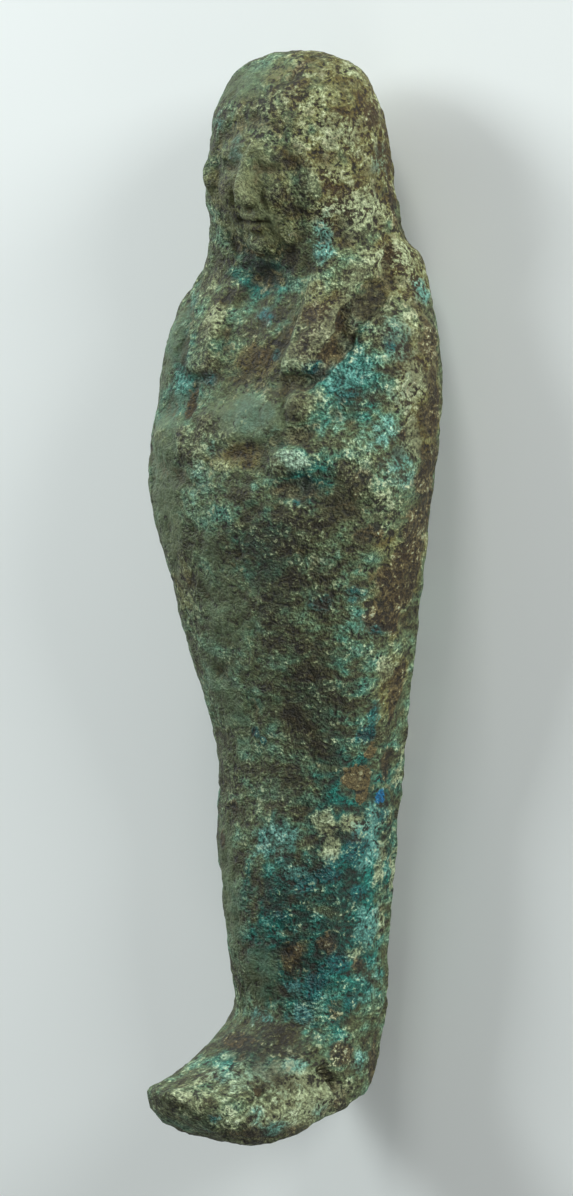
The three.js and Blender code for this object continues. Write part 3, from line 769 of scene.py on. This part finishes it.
def closed_mesh(name, grid):
    """A mesh over rings of points, closed at each end by a point amid the last ring."""
    rings, columns = grid.shape[:2]
    ends = grid[[0, -1]].mean(1)
    vertices = np.concatenate([ends[:1], grid.reshape(-1, 3), ends[1:]]) * METRE
    faces = []
    for ring in range(rings - 1):
        low, high = 1 + ring * columns, 1 + (ring + 1) * columns
        for column in range(columns):
            after = (column + 1) % columns
            faces.append((low + column, low + after, high + after, high + column))
    top = 1 + (rings - 1) * columns
    for column in range(columns):
        after = (column + 1) % columns
        faces.append((0, 1 + after, 1 + column))
        faces.append((top + columns, top + column, top + after))
    mesh = bpy.data.meshes.new(name)
    mesh.from_pydata(vertices.tolist(), [], faces)
    mesh.shade_smooth()
    piece = bpy.data.objects.new(name, mesh)
    bpy.context.collection.objects.link(piece)
    return piece


def cover(piece, amounts):
    """Stores one number for each vertex; the ends take the mean of their ring."""
    for name, amount in amounts.items():
        values = np.concatenate([[amount[0].mean()], amount.ravel(), [amount[-1].mean()]])
        piece.data.attributes.new(name, "FLOAT", "POINT").data.foreach_set("value", values)


plain, relief = figure_grid()
loss = wear(plain)
figure = closed_mesh("ushabti_worn", lay_down(plain - normals(plain) * loss[..., None], plain))
cover(figure, patina_and_shade(plain) | {"hollow": hollows(loss - relief)})
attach(figure, "root")
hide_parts("ushabti")


# ---- the material

def paint(red, green, blue):
    """A colour on the usual 0 to 255 scale, as the shader's linear one."""
    def linear(value):
        value /= 255
        return value / 12.92 if value <= 0.04045 else ((value + 0.055) / 1.055) ** 2.4
    return linear(red), linear(green), linear(blue), 1.0


class Shader:
    """A material's node tree, written down as short calls."""

    def __init__(self, name):
        self.material = bpy.data.materials.new(name)
        self.material.use_nodes = True
        self.tree = self.material.node_tree
        self.surface = self.tree.nodes["Principled BSDF"]
        self.place = self.node("ShaderNodeTexCoord").outputs["Object"]

    def node(self, kind, inputs=None, **settings):
        made = self.tree.nodes.new(kind)
        for name, value in settings.items():
            setattr(made, name, value)
        for name, value in (inputs or {}).items():
            self.put(made.inputs[name], value)
        return made

    def put(self, socket, value):
        if isinstance(value, bpy.types.NodeSocket):
            self.tree.links.new(value, socket)
        else:
            socket.default_value = value

    def amount(self, name):
        """What cover() stored under this name."""
        return self.node("ShaderNodeAttribute", attribute_name=name).outputs["Fac"]

    def cloud(self, size, detail=2.0, rough=0.55, warp=0.0, across=1.0):
        """Soft noise with features of a size in millimetres, spread over 0 to 1.
        With across below 1 they are drawn out across the figure."""
        drawn_out = self.node("ShaderNodeVectorMath", {0: self.place, 1: (across, 1, across)},
                              operation="MULTIPLY")
        made = self.node("ShaderNodeTexNoise", {
            "Vector": drawn_out.outputs[0], "Scale": 1000 / size, "Detail": detail,
            "Roughness": rough, "Distortion": warp})
        return self.spread(made.outputs["Fac"], 0.3, 0.7)

    def cells(self, size, widest):
        """Round spots of mixed width, one to a cell: below 0 outside, highest at the centre."""
        made = self.node("ShaderNodeTexVoronoi", {"Vector": self.place, "Scale": 1000 / size})
        luck = self.node("ShaderNodeSeparateColor", {"Color": made.outputs["Color"]})
        return self.total((luck.outputs["Red"], widest), (made.outputs["Distance"], -1.0))

    def scaled(self, colour, share):
        """A colour made lighter or darker by a factor."""
        made = self.node("ShaderNodeVectorMath", {0: colour, "Scale": share}, operation="SCALE")
        return made.outputs[0]

    def spread(self, value, low, high, smooth_ends=False):
        """0 up to the low value, 1 from the high value on, and a slope between them."""
        kind = "SMOOTHSTEP" if smooth_ends else "LINEAR"
        made = self.node("ShaderNodeMapRange", {
            "Value": value, "From Min": low, "From Max": high}, interpolation_type=kind)
        return made.outputs["Result"]

    def math(self, operation, first, second):
        made = self.node("ShaderNodeMath", operation=operation)
        self.put(made.inputs[0], first)
        self.put(made.inputs[1], second)
        return made.outputs[0]

    def total(self, *terms):
        """Adds up pairs of a value and its weight."""
        result = 0.0
        for value, weight in terms:
            made = self.node("ShaderNodeMath", operation="MULTIPLY_ADD")
            for socket, given in zip(made.inputs, (value, weight, result)):
                self.put(socket, given)
            result = made.outputs[0]
        return result

    def blend(self, mask, below, above):
        """One colour over another, as far as the mask says."""
        made = self.node("ShaderNodeMix", data_type="RGBA")
        for socket, given in zip((made.inputs[0], made.inputs[6], made.inputs[7]), (mask, below, above)):
            self.put(socket, given)
        return made.outputs[2]

    def ramp(self, value, *colours):
        """Colours an even way apart, from a value of 0 to 1."""
        made = self.node("ShaderNodeValToRGB", {"Fac": value})
        stops = made.color_ramp.elements
        while len(stops) < len(colours):
            stops.new(0.5)
        for number, colour in enumerate(colours):
            stops[number].position = number / (len(colours) - 1)
            stops[number].color = colour
        return made.outputs["Color"]


class Faience(Shader):
    """Worn glaze, crust and dirt over a moulded body, with shade and light painted in at places."""

    def __init__(self):
        super().__init__("faience")
        self.drift = self.cloud(8.0, 3.0)
        self.streak = self.cloud(2.2, 3.0, 0.6, 0.3, 0.45)
        self.blotch = self.cloud(2.6, 4.0, 0.62, 0.3)
        self.broken_edge = self.cloud(1.2, 4.0, 0.68, 0.2)
        self.speck = self.cloud(0.6, 3.0, 0.65)
        self.grain = self.cloud(0.3, 2.0, 0.6)

        # Under the dust the crust is calm, elsewhere it is grainy, in drifts.
        dust = self.total((self.amount("veil"), 1.0), (self.drift, 0.3), (self.blotch, 0.3))
        self.dust = self.spread(dust, 0.5, 1.15, True)
        bare_crust = self.total((self.dust, -0.6), (1.0, 1.0))
        grainy = self.total((self.drift, 0.45), (self.blotch, 0.15), (0.64, 1.0))
        self.crust = self.math("MULTIPLY", bare_crust, grainy)
        self.smooth_crust = self.total((self.crust, -1.0), (1.0, 1.0))

        # Light and dark within each colour
        fine = self.total((self.streak, 0.3), (self.blotch, 0.2), (self.broken_edge, 0.3), (self.speck, 0.2))
        self.fine = self.calm(self.spread(fine, 0.26, 0.74))
        self.cream = self.ramp(self.fine, paint(76, 73, 53), paint(109, 110, 87), paint(139, 144, 118),
                               paint(178, 182, 156))
        self.brown = self.ramp(self.fine, paint(28, 22, 15), paint(50, 42, 30), paint(74, 63, 47),
                               paint(110, 99, 76))

        colour = self.soiled(self.flecked(self.covered(self.ground())))
        self.put(self.surface.inputs["Base Color"], self.sanded(colour))
        self.finish()

    def patch(self, name, full=0.34, strength=0.9):
        """The area's amount, dissolved at its border into blotches and grains."""
        broken = self.total((self.amount(name), 1.0), (self.blotch, 0.3), (self.broken_edge, 0.4),
                            (self.speck, 0.2), (self.grain, 0.1))
        return self.math("MULTIPLY", self.spread(broken, 0.82, 0.82 + full, True), strength)

    def calm(self, value):
        """Draws a value towards its middle where the crust is smooth."""
        return self.total((value, self.crust), (self.smooth_crust, 0.5))

    def partly(self, share, strength, below, above):
        """A blend whose mask is thinned to a given strength."""
        return self.blend(self.math("MULTIPLY", share, strength), below, above)

    def ground(self):
        """The thin worn glaze: olive, and in places teal, umber or tan; painted shade darkens it and turns it
        umber, and the teal at the throat is painted shadow.
        """
        tone = self.total((self.drift, 0.15), (self.streak, 0.3), (self.blotch, 0.3),
                          (self.broken_edge, 0.15), (self.speck, 0.1))
        tone = self.calm(self.spread(tone, 0.29, 0.71))
        # Painted shade darkens the tone where it lies
        tone = self.total((tone, 1.0), (self.amount("painted_shade"), -0.24))
        olive = self.ramp(tone, paint(38, 33, 21), paint(63, 62, 44), paint(85, 92, 70),
                          paint(106, 119, 95), paint(136, 152, 126))
        teal = self.ramp(tone, paint(22, 34, 27), paint(30, 56, 48), paint(44, 86, 78),
                         paint(70, 119, 109), paint(116, 157, 146))
        umber = self.ramp(tone, paint(32, 30, 20), paint(50, 53, 38), paint(66, 73, 55), paint(87, 98, 78))
        tan = self.ramp(tone, paint(44, 34, 20), paint(73, 63, 41), paint(98, 93, 65),
                        paint(120, 120, 90), paint(147, 151, 121))
        teal_share = self.total((self.amount("teal"), 0.9), (self.streak, 0.5), (self.blotch, 0.4),
                                (self.drift, 0.2), (self.amount("tan"), -0.25))
        # Painted shade also turns the ground umber
        umber_share = self.total((self.streak, 0.6), (self.drift, 0.4), (self.amount("painted_shade"), 0.25))
        tan_share = self.total((self.amount("tan"), 1.0), (self.blotch, 0.5), (self.speck, 0.2))
        colour = self.blend(self.spread(teal_share, 0.5, 1.2, True), olive, teal)
        colour = self.blend(self.spread(umber_share, 0.62, 1.05, True), colour, umber)
        return self.blend(self.spread(tan_share, 0.55, 1.0, True), colour, tan)

    def covered(self, colour):
        """Crusts, thick glaze, dust and bare body on the ground, from the lowest to the highest. Some brown
        and deep teal patches are painted shadow, and some cream on the foot is painted light.
        """
        turquoise = self.ramp(self.fine, paint(50, 72, 65), paint(80, 111, 103), paint(107, 144, 135),
                              paint(151, 183, 173))
        pale_blue = self.ramp(self.fine, paint(42, 64, 60), paint(60, 92, 90), paint(84, 122, 120),
                              paint(128, 164, 160))
        dusty = self.ramp(self.fine, paint(60, 66, 49), paint(84, 93, 73), paint(102, 111, 89),
                          paint(124, 134, 109))
        deep_teal_and_shade = self.ramp(self.fine, paint(12, 33, 33), paint(18, 52, 53), paint(34, 78, 77),
                         paint(70, 117, 111))
        bare = self.ramp(self.fine, paint(66, 58, 42), paint(84, 75, 56), paint(106, 96, 74))
        vivid = self.ramp(self.fine, paint(2, 50, 78), paint(6, 84, 124), paint(40, 124, 160))
        # Cream crust; on the near side of the foot also painted light
        colour = self.blend(self.patch("cream", 0.6), colour, self.cream)
        colour = self.blend(self.patch("turquoise", 0.65), colour, turquoise)
        colour = self.blend(self.patch("light_blue", 0.6), colour, pale_blue)
        colour = self.partly(self.dust, 0.7, colour, dusty)
        # Brown patches; under the chin, below the forearms and in the groove beside the right forearm they
        # are painted shadow
        colour = self.blend(self.patch("brown", 0.4), colour, self.brown)
        # Deep teal glaze, and painted shadow under the lappets and the left fist
        colour = self.blend(self.patch("deep_teal_and_shade", 0.5), colour, deep_teal_and_shade)
        colour = self.blend(self.patch("bare", 0.16, 1.0), colour, bare)
        return self.blend(self.patch("vivid", 0.2, 1.0), colour, vivid)

    def flecked(self, colour):
        """Dark flecks and pits break the crust, in drifts, and pale ones lie between them."""
        pitted = self.total((self.cells(1.15, 0.34), 1.0), (self.amount("brown"), 0.25),
                            (self.broken_edge, 0.3), (self.dust, -0.1))
        dark = self.total((self.broken_edge, 0.45), (self.speck, 0.45), (self.drift, 0.3),
                          (self.amount("brown"), -0.16), (self.amount("tan"), -0.1), (self.dust, 0.1))
        dark = self.spread(dark, 0.39, 0.3, True)
        dark = self.math("MAXIMUM", self.spread(pitted, 0.36, 0.5, True), dark)
        tanned = self.total((self.amount("tan"), 0.7), (self.speck, 0.3))
        body = self.ramp(tanned, paint(34, 31, 21), paint(38, 30, 19), paint(64, 48, 30))
        colour = self.partly(dark, 0.88, colour, body)
        pale = self.total((self.streak, 0.35), (self.broken_edge, 0.3), (self.speck, 0.5),
                          (self.drift, -0.2), (self.dust, -0.1), (self.amount("cream"), 0.1))
        return self.partly(self.spread(pale, 0.7, 0.84, True), 0.5, colour, self.cream)

    def soiled(self, colour):
        """Dirt stays in the hollows, the high places are rubbed pale."""
        dirt = self.total((self.amount("hollow"), 1.6), (self.broken_edge, 0.5), (self.speck, 0.5))
        colour = self.partly(self.spread(dirt, 0.7, 1.25, True), 0.65, colour, self.brown)
        rubbed = self.total((self.amount("hollow"), -1.4), (self.grain, 0.5), (self.speck, 0.5),
                            (self.dust, -0.3))
        return self.partly(self.spread(rubbed, 0.75, 1.2, True), 0.5, colour, self.cream)

    def sanded(self, colour):
        """Every colour has the same sandy grain."""
        sand = self.calm(self.total((self.speck, 0.35), (self.grain, 0.65)))
        colour = self.scaled(colour, self.total((sand, 1.5), (0.23, 1.0)))
        return self.node("ShaderNodeHueSaturation", {"Color": colour, "Saturation": 1.35}).outputs["Color"]

    def finish(self):
        """Thick glaze shines a little, and so do the painted shadows under the lappets and the left fist; the
        rest is matt and grainy.
        """
        glazed = self.math("MAXIMUM", self.patch("deep_teal_and_shade"), self.patch("vivid", 0.2, 1.0))
        dullness = self.total((glazed, -0.3), (self.speck, 0.15), (0.68, 1.0))
        self.put(self.surface.inputs["Roughness"], dullness)
        height = self.calm(self.total((self.blotch, 0.25), (self.broken_edge, 0.35), (self.speck, 0.25),
                                      (self.grain, 0.15)))
        bump = self.node("ShaderNodeBump", {"Height": height, "Strength": 1.0, "Distance": 0.0006})
        self.put(self.surface.inputs["Normal"], bump.outputs["Normal"])


figure.data.materials.append(Faience().material)


# ---- the stage

def studio_floor():
    half = 1.5
    corners = [(-half, -half, 0), (half, -half, 0), (half, half, 0), (-half, half, 0)]
    mesh = bpy.data.meshes.new("floor")
    mesh.from_pydata(corners, [], [(0, 1, 2, 3)])
    floor = bpy.data.objects.new("floor", mesh)
    bpy.context.collection.objects.link(floor)
    pale = bpy.data.materials.new("pale_floor")
    pale.use_nodes = True
    shader = pale.node_tree.nodes["Principled BSDF"]
    shader.inputs["Base Color"].default_value = paint(236, 235, 232)
    shader.inputs["Roughness"].default_value = 0.9
    mesh.materials.append(pale)


def soft_light(name, place, target, size, watts, tint):
    """A rectangular soft box that faces its target."""
    data = bpy.data.lights.new(name, "AREA")
    data.shape = "RECTANGLE"
    data.size, data.size_y = size
    data.energy = watts
    data.color = tint
    lamp = bpy.data.objects.new(name, data)
    lamp.location = place
    lamp.rotation_euler = (Vector(target) - Vector(place)).to_track_quat("-Z", "Y").to_euler()
    bpy.context.collection.objects.link(lamp)


def studio_light():
    middle = (0, 0, 0.01)
    soft_light("left_softbox", (0.46, 0.22, 0.11), middle, (0.14, 0.3), 3.25, (0.92, 1, 1.02))
    soft_light("right_softbox", (-0.40, 0.20, 0.22), middle, (0.18, 0.3), 2.3, (0.9, 1, 1.02))
    soft_light("foot_softbox", (0.28, -0.45, 0.16), middle, (0.2, 0.2), 0.4, (0.95, 1, 1))
    soft_light("head_softbox", (0.05, 0.60, 0.28), middle, (0.2, 0.14), 1.45, (0.94, 1, 1))
    world = bpy.data.worlds.new("studio")
    world.use_nodes = True
    world.node_tree.nodes["Background"].inputs["Color"].default_value = (0.93, 1, 1, 1)
    world.node_tree.nodes["Background"].inputs["Strength"].default_value = 0.13
    bpy.context.scene.world = world


# ---- the camera looks down on the lying figure from its front and left

CAMERA_SIDE = math.radians(43.0)      # round the figure's long axis, from its front to its left
CAMERA_ABOVE = math.radians(7.0)      # towards the crown
CAMERA_ROLL = math.radians(0.36)
CAMERA_AWAY = 0.6
VIEW_HEIGHT = 0.1315                  # what the frame takes in at the figure's distance
VIEW_CENTRE = (-0.00041, -0.00023, 0.01111)


def camera():
    """The camera's matrix is worked out from the figure's long axis, then rolled."""
    side, above = CAMERA_SIDE, CAMERA_ABOVE
    back = Vector((math.sin(side) * math.cos(above), math.sin(above), math.cos(side) * math.cos(above)))
    right = Vector((math.cos(side), 0, -math.sin(side)))
    up = back.cross(right)
    rolled_right = right * math.cos(CAMERA_ROLL) + up * math.sin(CAMERA_ROLL)
    rolled_up = up * math.cos(CAMERA_ROLL) - right * math.sin(CAMERA_ROLL)
    data = bpy.data.cameras.new("camera")
    data.sensor_width = 36
    data.lens = data.sensor_width * CAMERA_AWAY / VIEW_HEIGHT
    data.clip_start, data.clip_end = 0.01, 20
    lens = bpy.data.objects.new("camera", data)
    turn = Matrix((rolled_right, rolled_up, back)).transposed().to_4x4()
    lens.matrix_world = Matrix.Translation(Vector(VIEW_CENTRE) + back * CAMERA_AWAY) @ turn
    bpy.context.collection.objects.link(lens)
    bpy.context.scene.camera = lens


studio_floor()
studio_light()
camera()
bpy.context.scene.view_settings.view_transform = "Standard"
